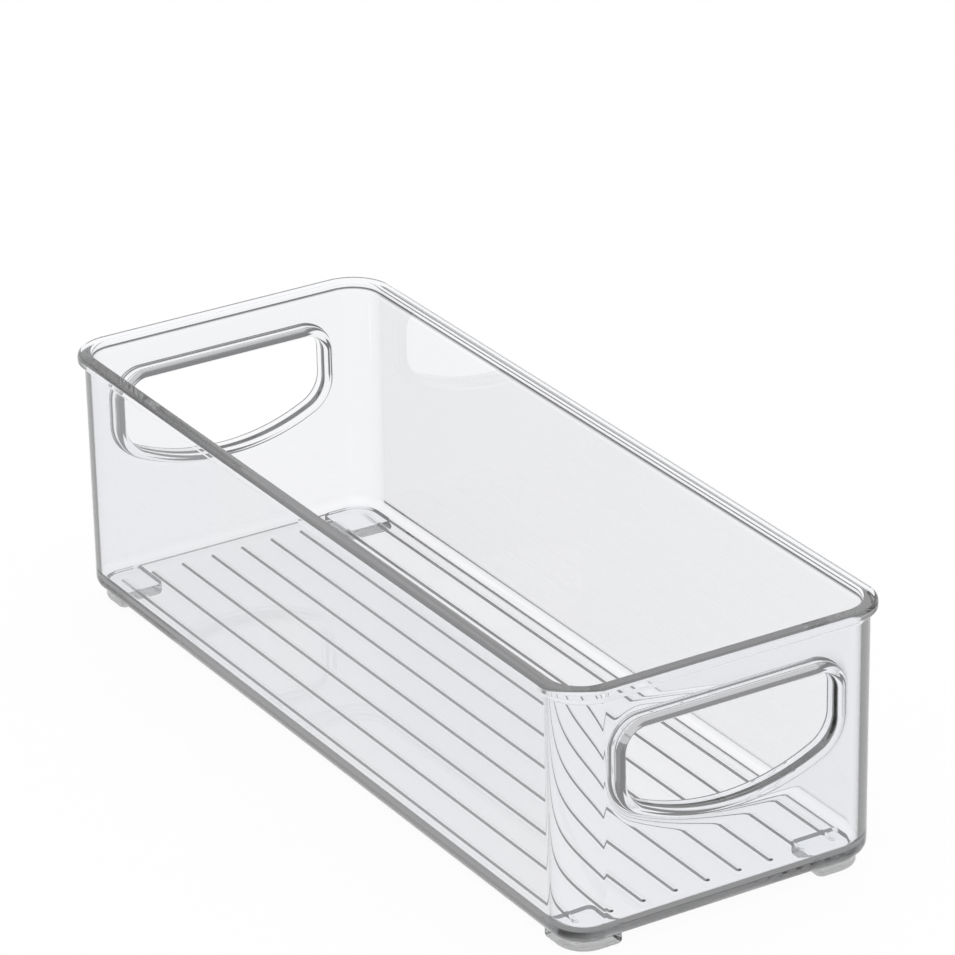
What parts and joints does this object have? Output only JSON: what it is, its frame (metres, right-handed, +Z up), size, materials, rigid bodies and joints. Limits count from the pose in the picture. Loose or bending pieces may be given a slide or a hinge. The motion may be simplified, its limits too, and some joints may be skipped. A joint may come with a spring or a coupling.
{
  "type": "storage bin with handles",
  "caption": "Long clear storage bin with a flanged rim, a collared hand hole in each short wall, a ribbed floor and soft pads under its corners.",
  "frame": {"origin": "on the table, under the middle of the bin", "axes": "+Y along the bin towards the rear handle, +X across it to the right as seen from the front, +Z up"},
  "size_m": [0.0988, 0.2608, 0.075],
  "materials": {
    "clear_plastic": "clear, gloss, injection moulded",
    "clear_pad": "clear, soft, gloss"
  },
  "bodies": {
    "root": {"tub": "clear_plastic", "foot_front_left": "clear_pad", "foot_front_right": "clear_pad", "foot_rear_left": "clear_pad", "foot_rear_right": "clear_pad"}
  },
  "joints": []
}
